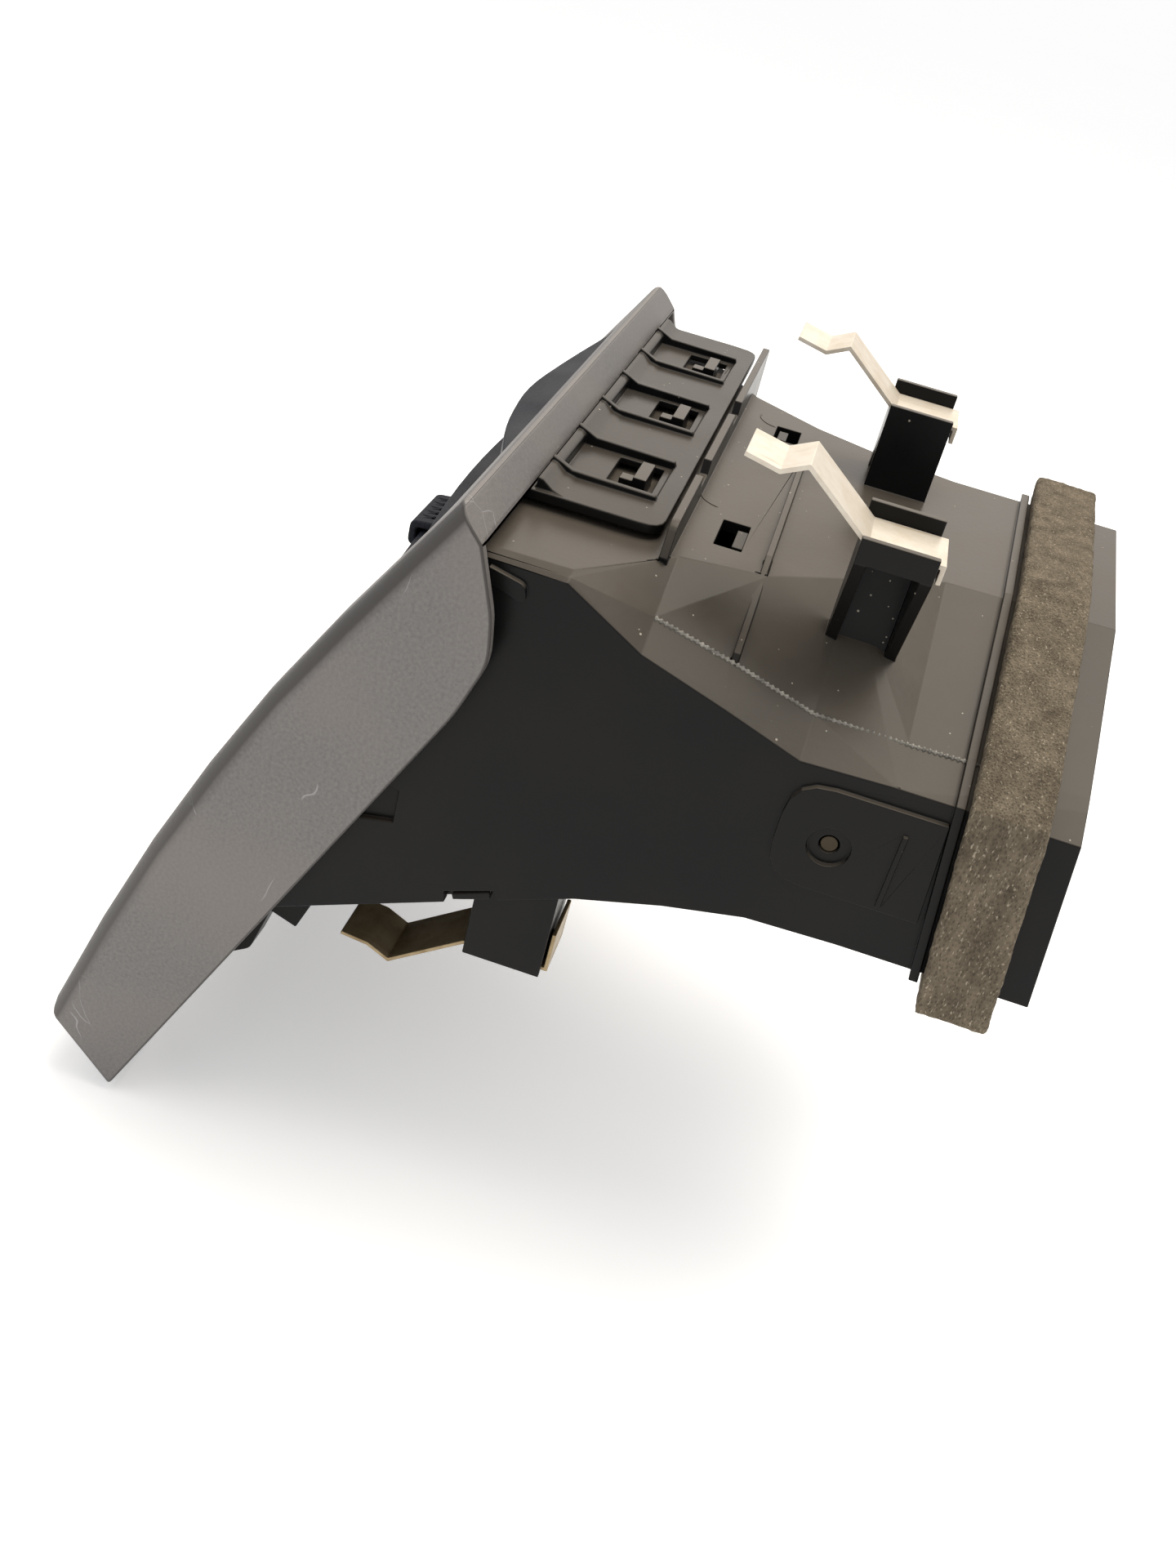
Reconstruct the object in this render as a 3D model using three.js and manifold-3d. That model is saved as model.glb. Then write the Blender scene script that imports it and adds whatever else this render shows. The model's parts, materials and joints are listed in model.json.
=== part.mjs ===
// Car dashboard air vent: a bezel and a black front frame, a tapering duct with four spring clips,
// two coupled sets of vanes with a slider knob, and a shut-off damper worked by a thumbwheel.
// Millimetres. +Z up, +Y from the bezel into the dash, +X to the right when facing the vent.
// Origin: on the duct's flat top, level with the front faces of the upper clip towers,
// at the bezel's mid width.
import * as THREE from 'three';
import { mergeVertices } from 'three/addons/utils/BufferGeometryUtils.js';
import { ConvexGeometry } from 'three/addons/geometries/ConvexGeometry.js';
import Module from 'manifold-3d';

const wasm = await Module();
wasm.setup();

// ---- driving dimensions ----
const GAP = 0.3; // between touching pieces
const BIG = 400; // cutting blocks reach past everything
const RAKE = 0.5; // how far the face leans forward (Y) for each millimetre down (Z)
const RAKE_COS = 1 / Math.hypot(1, RAKE);
const RAKE_SIN = RAKE * RAKE_COS;

const BEZEL_HALF_WIDTH = 80;
const BEZEL_WALL = 2.5;
const BEZEL_ROLL = 5; // radius of the rolled edge between the face and each cheek
const BEZEL_OPENING = { x0: -58, x1: 70, top: 2, bottom: -84 };

const DUCT_SIDE_X = 74; // outer face of the right-hand duct wall
const DUCT_WALL = 2.2;
const MOUTH_Y = -56; // where the raked mouth plane crosses z = 0
const COVER_SIDE_GAP = DUCT_WALL + GAP;

// Duct sections: y, left wall x, end of the flat top x, crease x and z, top of the side wall z, bottom z
const SECTIONS = [
  { y: -104, left: -60, flat: 73, creaseX: 73.6, creaseZ: -0.2, sideTop: -0.6, bottom: -93 },
  { y: -41, left: -60, flat: 71, creaseX: 73, creaseZ: -0.5, sideTop: -1.2, bottom: -65 },
  { y: -27, left: -42, flat: 54, creaseX: 68, creaseZ: -5.2, sideTop: -9.2, bottom: -59 },
  { y: -12, left: -33, flat: 50.8, creaseX: 67, creaseZ: -9.4, sideTop: -14, bottom: -54.5 },
  { y: 2, left: -28, flat: 41, creaseX: 66.5, creaseZ: -13.9, sideTop: -18.8, bottom: -51.4 },
  { y: 18, left: -25, flat: 30.2, creaseX: 66, creaseZ: -14.3, sideTop: -18.2, bottom: -50.8 },
  { y: 60, left: -25, flat: 27.7, creaseX: 66, creaseZ: -13.6, sideTop: -18.3, bottom: -50.8 },
];

// The inlet end leans a little: its plane is y = INLET.y - INLET.leanX * x - INLET.leanZ * z
const INLET = { y: 32.6, leanX: 0.07, leanZ: 0.12 };
const GASKET_WIDTH = 12.5;
const GASKET_THICKNESS = 5;
const INLET_LIP = 5.5; // duct left bare behind the gasket

const CLIP_WIDTH = 12;
const CLIP_SHEET = 0.8;
const TOWER = { depth: 12.4, width: 15.1, top: 16.6, floor: 14.4, bottom: 12.3, wall: 1.4 };
const UPPER_TOWERS = { near: 50.3, far: -21.8 }; // left faces of the two upper towers
const LOWER_TOWERS = { near: 54.9, far: -38 };
const LOWER_TOWER = { y0: -45, y1: -30, bottom: -82, base: -62 };

const SNAP_WINDOWS = { left: -50.6, pitch: 37.3, width: 15, y0: -44.2, y1: -36 };
const TOP_WINDOWS = [[-26.7, -18, -20.3, -15.2], [32.4, 44.4, -22.6, -17.6]]; // for the upper rail's fingers
const PANEL = { x0: -65, x1: 52, y0: -58, y1: -31, bottom: 1.1, top: 2.9 };

const H_VANE = {
  count: 5, firstZ: -13, pitch: 14, thickness: 2, front: 12, rear: 9, crown: 5, x0: -53.8, x1: 67.8,
};
const H_PIVOT_Y = -50; // pivots lie on y = H_PIVOT_Y + RAKE * z
const H_PIN_RADIUS = 1.5;
const H_CRANK = 7; // link pins behind the pivots
const H_GRIPPED = 1; // index of the vane that carries the slider
const KNOB = { width: 16, proud: 2.2, height: 7.2 };

const V_VANE = { count: 5, firstX: -26, pitch: 18.5, thickness: 1.6, half: 11 };
const V_AXIS_Y = -27; // axes lie on y = V_AXIS_Y + RAKE * z
const V_PIN_RADIUS = 1.3;
const V_CRANK = 8; // link pins behind the axes
const V_LINK_Z = -30;
const V_POST = 13; // fork post ahead of the axis of the middle vane
const V_MIDDLE = 2;
const FORK_Z = -29;

const WHEEL = { y: -68, z: -32, radius: 16.5, x0: -72.5, x1: -65.5 };
const DAMPER = { y: 11, z: -32, up: 28.6, down: 15.8, x0: -22, x1: 70.8, shaft: 1.5 };
const CRANK = 9; // thumbwheel crank and damper lever
const CRANK_ANGLE = THREE.MathUtils.degToRad(49);

// ---- materials ----
const looks = {
  paint: { color: 0x77716f, roughness: 0.5, metalness: 0.3 },
  plastic: { color: 0x1d1c1c, roughness: 0.4, metalness: 0 },
  vane: { color: 0x17181c, roughness: 0.5, metalness: 0 },
  link: { color: 0x8d8a80, roughness: 0.5, metalness: 0 },
  spring: { color: 0xe6d8bd, roughness: 0.45, metalness: 0.4 },
  steel: { color: 0x9a9a98, roughness: 0.3, metalness: 1 },
  foam: { color: 0x5b5144, roughness: 1, metalness: 0 },
  grip: { color: 0x15161b, roughness: 0.8, metalness: 0 },
};

// ---- solids ----
function solid(geometry) {
  const bare = geometry.clone();
  bare.deleteAttribute('normal');
  bare.deleteAttribute('uv');
  const merged = mergeVertices(bare, 1e-4);
  return new wasm.Manifold(new wasm.Mesh({
    numProp: 3,
    vertProperties: new Float32Array(merged.attributes.position.array),
    triVerts: new Uint32Array(merged.index.array),
  }));
}

function join(...pieces) {
  return pieces.flat().reduce((sum, piece) => sum.add(piece));
}

function block(x0, x1, y0, y1, z0, z1) {
  const box = new THREE.BoxGeometry(x1 - x0, y1 - y0, z1 - z0);
  box.translate((x0 + x1) / 2, (y0 + y1) / 2, (z0 + z1) / 2);
  return solid(box);
}

// A closed outline from [a, b] or [a, b, cornerRadius] points
function outline(points) {
  const shape = new THREE.Shape();
  points.forEach(([a, b, radius = 0], i) => {
    const corner = new THREE.Vector2(a, b);
    const before = new THREE.Vector2(...points.at(i - 1));
    const after = new THREE.Vector2(...points[(i + 1) % points.length]);
    const start = corner.clone().add(before.sub(corner).setLength(radius));
    const end = corner.clone().add(after.sub(corner).setLength(radius));
    if (i === 0) shape.moveTo(start.x, start.y);
    else shape.lineTo(start.x, start.y);
    if (radius > 0) shape.quadraticCurveTo(corner.x, corner.y, end.x, end.y);
  });
  shape.closePath();
  return shape;
}

function extrude(shape, depth, curveSegments) {
  return new THREE.ExtrudeGeometry(shape, { depth, bevelEnabled: false, curveSegments });
}

// Outline in (y, z), extruded from x0 to x1
function prismX(points, x0, x1, curveSegments = 4) {
  const geometry = extrude(outline(points), x1 - x0, curveSegments);
  geometry.applyMatrix4(new THREE.Matrix4().set(0, 0, 1, x0, 1, 0, 0, 0, 0, 1, 0, 0, 0, 0, 0, 1));
  return solid(geometry);
}

// Outline in (x, z), extruded from y0 to y1
function prismY(points, y0, y1, curveSegments = 4) {
  const geometry = extrude(outline(points), y1 - y0, curveSegments);
  geometry.applyMatrix4(new THREE.Matrix4().set(1, 0, 0, 0, 0, 0, -1, y1, 0, 1, 0, 0, 0, 0, 0, 1));
  return solid(geometry);
}

// Outline in (x, y), extruded from z0 to z1
function prismZ(points, z0, z1, curveSegments = 4) {
  const geometry = extrude(outline(points), z1 - z0, curveSegments);
  geometry.translate(0, 0, z0);
  return solid(geometry);
}

function rodX(radius, x0, x1, y, z, segments = 20) {
  const rod = new THREE.CylinderGeometry(radius, radius, x1 - x0, segments);
  rod.rotateZ(Math.PI / 2);
  rod.translate((x0 + x1) / 2, y, z);
  return solid(rod);
}

// A rod along the raked upright direction, centred on a point, of the given length
function rodRaked(radius, length, x, y, z, segments = 16) {
  const rod = new THREE.CylinderGeometry(radius, radius, length, segments);
  rod.applyMatrix4(new THREE.Matrix4().makeBasis(
    new THREE.Vector3(1, 0, 0),
    new THREE.Vector3(0, RAKE_SIN, RAKE_COS),
    new THREE.Vector3(0, -RAKE_COS, RAKE_SIN),
  ));
  rod.translate(x, y, z);
  return solid(rod);
}

function hull(points) {
  return solid(new ConvexGeometry(points.map((p) => new THREE.Vector3(...p))));
}

// Everything on the dash side of the plane y = y0 + RAKE * z
function behindRake(y0) {
  const reach = RAKE * BIG;
  return prismX([[y0 - reach, -BIG], [BIG * 2, -BIG], [BIG * 2, BIG], [y0 + reach, BIG]], -BIG, BIG);
}

// The slab of the inlet's leaning planes between two distances behind the gasket's front
function inletSlab(from, to) {
  const slab = new THREE.BoxGeometry(BIG, to - from, BIG);
  slab.translate(0, (from + to) / 2, 0);
  const normal = new THREE.Vector3(INLET.leanX, 1, INLET.leanZ).normalize();
  slab.applyQuaternion(new THREE.Quaternion().setFromUnitVectors(new THREE.Vector3(0, 1, 0), normal));
  slab.translate(0, INLET.y, 0);
  return solid(slab);
}

// ---- duct sections ----
function sectionPoints(s, grow, bottomDrop) {
  const top = grow;
  return [
    [s.left - grow, s.y, top],
    [s.flat + grow * 0.4, s.y, top],
    [s.creaseX + grow * 0.6, s.y, s.creaseZ + grow * 0.95],
    [DUCT_SIDE_X + grow, s.y, s.sideTop + grow * 0.6],
    [DUCT_SIDE_X + grow, s.y, s.bottom - bottomDrop],
    [s.left - grow, s.y, s.bottom - bottomDrop],
  ];
}

// The duct's outer body grown by the given distance; bottomDrop moves its underside
function ductBody(grow, bottomDrop) {
  const spans = SECTIONS.slice(1).map((s, i) => hull([
    ...sectionPoints(SECTIONS[i], grow, bottomDrop),
    ...sectionPoints(s, grow, bottomDrop),
  ]));
  return join(spans);
}

function bottomZ(y) {
  const i = Math.min(SECTIONS.findIndex((s) => s.y > y), SECTIONS.length - 1);
  const [a, b] = [SECTIONS[i - 1], SECTIONS[i]];
  return a.bottom + ((y - a.y) / (b.y - a.y)) * (b.bottom - a.bottom);
}

// ---- clip towers and springs ----
// A hollow block with a channel for the spring, standing on two gussets joined by a web
function upperTower(x, footZ, solidSide) {
  const { depth, width, top, floor, bottom, wall } = TOWER;
  const right = x + width;
  const gusset = [[x, bottom + 1], [right, bottom + 1], [right, bottom], [x + 1.7, footZ], [x, footZ]];
  const legs = [0, depth - 2].map((y) => prismY(gusset, y, y + 2));
  const web = block(x, x + wall, 0, depth, footZ, bottom + 1);
  const head = block(x, right, 0, depth, bottom, top + wall)
    .subtract(block(x + wall, right + 1, -1, depth + 1, top, BIG))
    .subtract(block(x + wall, right - wall, -1, depth + 1, floor, BIG))
    .subtract(block(x + wall, right - wall, 2, depth - 2, 0, floor - wall));
  const side = solidSide ? [block(right - wall, right, 0, depth, -1, bottom + 1)] : [];
  return join(head, legs, web, side);
}

function lowerTower(x) {
  const { width, wall } = TOWER;
  const { y0, y1, bottom, base } = LOWER_TOWER;
  const floor = bottom + wall;
  return block(x, x + width, y0, y1, bottom, base)
    .subtract(block(x + wall, x + width - wall, y0 - 1, y1 + 1, -BIG, floor + 0.4))
    .subtract(block(x + wall, x + width - wall, y0 + 2.5, y1 - 2.5, floor + wall + 1, 0));
}

// A bent strip: path points in (y, z), thickened to one side by the sheet
function strip(path, x0) {
  const points = path.map(([y, z]) => new THREE.Vector2(y, z));
  const side = (sign) => points.map((p, i) => {
    const before = points[Math.max(i - 1, 0)];
    const after = points[Math.min(i + 1, points.length - 1)];
    const a = p.clone().sub(i > 0 ? before : p.clone().multiplyScalar(2).sub(after)).normalize();
    const b = after.clone().sub(i < points.length - 1 ? p : before).normalize();
    const tangent = a.clone().add(b).normalize();
    const stretch = 1 / Math.max(0.5, tangent.dot(a));
    const normal = new THREE.Vector2(-tangent.y, tangent.x).multiplyScalar((sign * CLIP_SHEET * stretch) / 2);
    return p.clone().add(normal).toArray();
  });
  return prismX([...side(1), ...side(-1).reverse()], x0, x0 + CLIP_WIDTH);
}

function upperClip(towerX) {
  const lie = TOWER.floor + GAP + CLIP_SHEET / 2;
  const path = [
    [TOWER.depth + 0.8, 12.2], [TOWER.depth + 0.8, lie], [1.2, lie],
    [-10.8, 24.2], [-14.9, 22.2], [-20.8, 23.4],
  ];
  return strip(path, towerX + TOWER.wall + 0.15);
}

function lowerClip(towerX) {
  const { y0, y1, bottom } = LOWER_TOWER;
  const rear = y1 + 0.8;
  const lie = bottom + TOWER.wall + 0.4 - GAP - CLIP_SHEET / 2;
  const path = [
    [rear, -72.5], [rear, lie], [y0 - 0.4, lie],
    [-59, -91], [-63.5, -88.8], [-69, -88.2],
  ];
  return strip(path, towerX + TOWER.wall + 0.15);
}

// ---- duct ----
function snapHook(x) {
  const middle = x + SNAP_WINDOWS.width / 2;
  return join(
    block(middle - 4.5, middle + 4.5, -39.8, -37.4, -1, 3.9),
    block(middle + 1.6, middle + 4.5, -42.2, -39.6, -1, 3.2),
  );
}

function topFlangeRib() {
  return prismY([
    [-62, -6], [-40, -6], [-38, -1], [52, -1], [56, -5], [58, 0.5], [54, 5.6, 1.5],
    [30, 5.6], [29, 3], [22, 3], [21, 5.6], [-8, 5.6], [-9, 3], [-16, 3], [-17, 5.6], [-62, 5.6, 2],
  ], -29.8, -28.3);
}

function steppedRib() {
  return prismY([
    [-9, -0.5], [-7, 1.6], [47, 1.9], [66.4, -7.6], [67.4, -9.6], [66, -10.4], [50, -2],
  ], -13.4, -12.2);
}

function axlePad() {
  const { y, z } = DAMPER;
  const rooted = DUCT_SIDE_X - 0.5;
  const pad = join(
    prismX([[27.6, -21.5], [y - 9, -21.5, 7], [y - 9, -41, 7], [29, -41]], rooted, DUCT_SIDE_X + 1),
    block(rooted, DUCT_SIDE_X + 1.6, 21.4, 22.3, -40, -25.5),
  );
  return pad.subtract(rodX(3.7, DUCT_SIDE_X - 0.4, BIG, y, z, 28));
}

function sideRib() {
  const edge = [[-53.5, -1.9], [-47.3, -3.3, 1], [-46.6, -6.1, 1], [-48.3, -6.3], [-53.4, -4.6]];
  return prismX(edge, DUCT_SIDE_X - 0.5, DUCT_SIDE_X + 1);
}

function ductHousing() {
  const body = ductBody(0, 0)
    .intersect(behindRake(MOUTH_Y))
    .subtract(inletSlab(GASKET_WIDTH + INLET_LIP, BIG));
  const hollow = ductBody(-DUCT_WALL, 20);
  const collar = ductBody(1.3, 1.3).intersect(inletSlab(-2.2, -0.6)).subtract(ductBody(-1, 30));
  const hooks = [0, 1, 2].map((i) => snapHook(SNAP_WINDOWS.left + i * SNAP_WINDOWS.pitch));
  const wheelPeg = join(
    rodX(2.1, -73.6, -58.5, WHEEL.y, WHEEL.z),
    rodX(2.7, -74.6, -73.4, WHEEL.y, WHEEL.z),
  );
  const farBearing = rodX(4, -29, -24, DAMPER.y, DAMPER.z);
  const shell = join(
    body.subtract(hollow), collar, hooks, wheelPeg, farBearing,
    topFlangeRib(), steppedRib(), axlePad(), sideRib(),
    upperTower(UPPER_TOWERS.near, -8, false), upperTower(UPPER_TOWERS.far, -1, true),
  );
  const topWindows = join(TOP_WINDOWS.map(([x0, x1, y0, y1]) => block(x0, x1, y0, y1, -4, 2)));
  const outside = DUCT_SIDE_X + 1;
  const catchOutline = [[-50, -66.5], [-41, -62.8], [-40, -65.2], [-49.5, -69]];
  const catchWindow = prismX(catchOutline, DUCT_SIDE_X - 4, outside);
  const dentOutline = [[-66, -47], [-61.5, -48.5], [-61.5, -55.5], [-69, -57]];
  const sideDent = prismX(dentOutline, DUCT_SIDE_X - 1.2, outside);
  const axleBore = rodX(DAMPER.shaft + 0.25, -BIG, BIG, DAMPER.y, DAMPER.z);
  return shell.subtract(join(topWindows, catchWindow, sideDent, axleBore));
}

// The plate that closes the duct from below, with the two lower towers
function bottomCover() {
  const right = DUCT_SIDE_X - COVER_SIDE_GAP;
  const slab = SECTIONS.slice(1).map((s, i) => hull([SECTIONS[i], s].flatMap((k) => {
    const left = k.left + COVER_SIDE_GAP;
    return [k.bottom, k.bottom + DUCT_WALL].flatMap((z) => [[left, k.y, z], [right, k.y, z]]);
  })));
  const plate = join(slab)
    .intersect(behindRake(MOUTH_Y))
    .subtract(inletSlab(GASKET_WIDTH + INLET_LIP, BIG));
  const below = join(SECTIONS.slice(1).map((s, i) => hull([SECTIONS[i], s].flatMap((k) => [
    [-BIG, k.y, k.bottom + 0.4], [BIG, k.y, k.bottom + 0.4], [-BIG, k.y, -BIG], [BIG, k.y, -BIG],
  ]))));
  const towers = [LOWER_TOWERS.near, LOWER_TOWERS.far].map((x) => lowerTower(x).intersect(below));
  const catchTab = prismX([
    [-48.6, -66.9], [-42, -64], [-41.6, -65.4], [-48.2, -68],
  ], 70.8, DUCT_SIDE_X - 0.5);
  const ribs = [-10, 20].map((x) => hull([
    [x, -86, bottomZ(-86) + 0.2], [x + 1.4, -86, bottomZ(-86) + 0.2], [x, -30, bottomZ(-30) + 0.2],
    [x + 1.4, -30, bottomZ(-30) + 0.2], [x, -60, bottomZ(-60) - 3], [x + 1.4, -60, bottomZ(-60) - 3],
  ]));
  return join(plate, towers, catchTab, ribs);
}

function inletGasket() {
  return ductBody(GASKET_THICKNESS, GASKET_THICKNESS)
    .subtract(ductBody(GAP, GAP))
    .intersect(inletSlab(0, GASKET_WIDTH));
}

// ---- front ----
// Side profile of the bezel in (y, z): curved front from the top, rounded foot, straight raked rear edge
const BEZEL_PROFILE = [
  [-59, 8.6, 1.5], [-66, -2.6], [-76, -18.4], [-86, -35.6], [-95.6, -54.4], [-105, -75], [-114, -97.4],
  [-123.6, -124, 5], [-109.5, -138.6, 1], [-53.2, -27, 3], [-49.4, -16, 3], [-50.4, -8, 2], [-54.2, 3.4, 0.5],
];

// The profile moved inwards from the front skin and opened at the rear
const BEZEL_HOLLOW = [
  [-59.4, 5.4], [-63.9, -2], [-73.8, -17.4], [-83.8, -34.8], [-93.2, -53.4], [-102.6, -74], [-111.6, -96.4],
  [-120.2, -122.8, 3], [-110.6, -132.8], [-98, -138], [0, -40], [0, 3.2], [-56.9, 3.2],
];

// Everything behind the bezel's curved face, with the face rolled over into both cheeks
function rolledFace() {
  const half = BEZEL_HALF_WIDTH;
  const steps = 5;
  const face = [[-47, 28], ...BEZEL_PROFILE.slice(0, 8), [-104, -145]];
  const corner = Array.from({ length: steps + 1 }, (_, i) => (i * Math.PI) / (2 * steps));
  const level = ([y, z]) => [-1, 1].flatMap((side) => [[side * half, 0, z], ...corner.map((angle) => (
    [side * (half - BEZEL_ROLL * (1 - Math.sin(angle))), y + BEZEL_ROLL * (1 - Math.cos(angle)), z]
  ))]);
  return join(face.slice(1).map((point, i) => hull([...level(face[i]), ...level(point)])));
}

function bezel() {
  const half = BEZEL_HALF_WIDTH;
  const o = BEZEL_OPENING;
  const mouth = prismY([
    [o.x0, o.top, 5], [o.x1, o.top, 5], [o.x1, o.bottom, 8], [o.x0, o.bottom, 8],
  ], -BIG, 0);
  const wheelSlot = rodX(WHEEL.radius + 0.8, WHEEL.x0 - 0.8, WHEEL.x1 + 0.8, WHEEL.y, WHEEL.z, 40);
  return prismX(BEZEL_PROFILE, -half, half, 5)
    .intersect(rolledFace())
    .subtract(prismX(BEZEL_HOLLOW, -half + BEZEL_WALL, half - BEZEL_WALL))
    .subtract(mouth)
    .subtract(wheelSlot);
}

function snapPanel() {
  const { x0, x1, y0, y1, bottom, top } = PANEL;
  const w = SNAP_WINDOWS;
  const plate = prismZ([[x0, y0], [x1, y0], [x1, y1, 4], [x0, y1, 4]], bottom, top);
  const fillet = prismX([
    [-53.6, 2], [-53.4, 4.9], [-52.4, 4.7], [-50.6, 3.4], [-48.4, 2.9], [-48.4, 2],
  ], x0 + 1, x1 - 1);
  const windows = [0, 1, 2].map((i) => {
    const x = w.left + i * w.pitch;
    return block(x, x + w.width, w.y0, w.y1, 0, BIG);
  });
  const rails = [0, 1, 2].flatMap((i) => [-2.6, w.width + 1.2].map((offset) => {
    const x = w.left + i * w.pitch + offset;
    return prismX([[-53.6, 2], [-53.4, 5.6], [-51.4, 4.8], [-49.6, 4], [-34.6, 3.8], [-34, 2]], x, x + 1.4);
  }));
  const trough = [0, 1, 2].map((i) => {
    const x = w.left + i * w.pitch;
    return block(x - 1.2, x + w.width + 1.2, -51.6, -34.6, 2.4, BIG);
  });
  return join(join(plate, fillet).subtract(join(trough)), rails).subtract(join(windows));
}

function frontFrame() {
  const ring = prismY([[-62, 2.9], [76, 2.9], [76, -88, 3], [-62, -88, 3]], -BIG, BIG)
    .intersect(behindRake(-59.4).subtract(behindRake(-56.4)));
  const opening = prismY([[-55, -2.4, 3], [69, -2.4, 3], [69, -80, 3], [-55, -80, 3]], -BIG, BIG);
  const browPlan = [
    [-54, -57.4], [-54, -63.4], [-30, -67.4, 10], [-6, -70.4, 10], [20, -67.6, 10], [40, -62.4], [40, -57.4],
  ];
  const browSection = [[-56, -3.6], [-66, -3.6], [-72, -2.4], [-70, -0.4], [-64, 1], [-56, 1]];
  const brow = prismZ(browPlan, -3.6, 1).intersect(prismX(browSection, -BIG, BIG));
  const brackets = [52, -50].map((x) => prismX([
    [-103.2, -87.5], [-100.6, -87.5], [-102.9, -92.6], [-97, -91.2], [-86, -86.6], [-73, -81], [-70, -86],
    [-77, -88.4], [-81, -99], [-86.6, -97], [-90, -108.4, 1], [-96, -112.4, 2], [-105, -104], [-106, -96],
  ], x, x + 7));
  return join(ring.subtract(opening), snapPanel(), brow, brackets);
}

// ---- vane bearings ----
function hVanePivot(index) {
  const z = H_VANE.firstZ - index * H_VANE.pitch;
  return { y: H_PIVOT_Y + RAKE * z, z };
}

function sideRetainer(x0) {
  const plate = prismX([[-57, -2.9], [-44.4, -2.9], [-83.4, -80.8], [-99.4, -87.8]], x0, x0 + 2);
  const holes = Array.from({ length: H_VANE.count }, (_, i) => {
    const { y, z } = hVanePivot(i);
    return rodX(H_PIN_RADIUS + 0.15, x0 - 1, x0 + 3, y, z);
  });
  return plate.subtract(join(holes));
}

function vVaneX(index) {
  return V_VANE.firstX + index * V_VANE.pitch;
}

function vAxisPoint(z) {
  return { y: V_AXIS_Y + RAKE * z, z };
}

function pinHoles(z) {
  const { y } = vAxisPoint(z);
  const radius = V_PIN_RADIUS + 0.15;
  return join(Array.from({ length: V_VANE.count }, (_, i) => rodRaked(radius, 20, vVaneX(i), y, z)));
}

function upperVaneRail() {
  const fingers = [[-25.2, -19.6], [34.4, 42.4]].map(([x0, x1]) => join(
    block(x0, x1, -24, -16.8, -4.8, -2.7),
    block(x0, x1, -19.6, -17.6, -3, -0.4),
  ));
  return join(block(-35, 51, -36, -23, -4.8, -2.7), fingers).subtract(pinHoles(-3.7));
}

function lowerVaneRail() {
  const lift = (y, above) => [y, bottomZ(y) + DUCT_WALL + above];
  return prismX([lift(-68, GAP), lift(-55, GAP), lift(-55, 2.6), lift(-68, 2.6)], -54, 68)
    .subtract(pinHoles(-69.6));
}

// ---- horizontal vanes ----
// The vane's plan: straight rear edge, crowned front edge, a recess at the left end for the link
function hVane(index) {
  const { y, z } = hVanePivot(index);
  const { x0, x1, front, rear, crown, thickness } = H_VANE;
  const steps = 14;
  const frontEdge = Array.from({ length: steps + 1 }, (_, i) => {
    const t = -1 + (2 * i) / steps;
    return [x0 + ((x1 - x0) * (1 + t)) / 2, y - front - crown * (1 - t * t)];
  });
  const plan = [...frontEdge, [x1, y + rear], [x0 + 4, y + rear], [x0 + 4, y + 1.6], [x0, y + 1.6]];
  const section = [
    [y - front - crown - 1, z - 0.5], [y - front - crown + 3, z - thickness / 2], [y + 3, z - thickness / 2],
    [y + rear + 1, z - 0.5], [y + rear + 1, z + 0.5], [y + 3, z + thickness / 2],
    [y - front - crown + 3, z + thickness / 2], [y - front - crown - 1, z + 0.5],
  ];
  const blade = prismZ(plan, z - thickness, z + thickness).intersect(prismX(section, x0 - 1, x1 + 1));
  const pins = join(
    rodX(H_PIN_RADIUS, x0 - 3, x0 + 6, y, z),
    rodX(H_PIN_RADIUS, x1 - 6, x1 + 3, y, z),
    rodX(1.1, x0 + 0.6, x0 + 5, y + H_CRANK, z),
  );
  const vane = join(blade, pins);
  if (index !== H_GRIPPED) return vane;
  const middleX = vVaneX(V_MIDDLE);
  return vane.subtract(block(middleX - 13, middleX + 13, y + 2.6, BIG, z - 5, z + 5));
}

function hVaneLink() {
  const ends = [hVanePivot(0), hVanePivot(H_VANE.count - 1)].map(({ y, z }) => [y + H_CRANK, z]);
  const [x0, x1] = [H_VANE.x0 + 1, H_VANE.x0 + 3];
  const [[ya, za], [yb, zb]] = ends;
  const [ny, nz] = [2.4 * RAKE_COS, -2.4 * RAKE_SIN];
  const bar = prismX([
    [ya - ny, za - nz], [ya + ny, za + nz], [yb + ny, zb + nz], [yb - ny, zb - nz],
  ], x0, x1);
  const eyes = ends.map(([y, z]) => rodX(2.4, x0, x1, y, z));
  const holes = Array.from({ length: H_VANE.count }, (_, i) => {
    const { y, z } = hVanePivot(i);
    return rodX(1.4, x0 - 1, x1 + 1, y + H_CRANK, z);
  });
  return join(bar, eyes).subtract(join(holes));
}

// ---- vertical vanes ----
// A point at a distance behind the raked axis (v) and along it (w), from the axis point at height z
function fromAxis(z, v, w) {
  const p = vAxisPoint(z);
  return [p.y + v * RAKE_COS + w * RAKE_SIN, p.z - v * RAKE_SIN + w * RAKE_COS];
}

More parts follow.
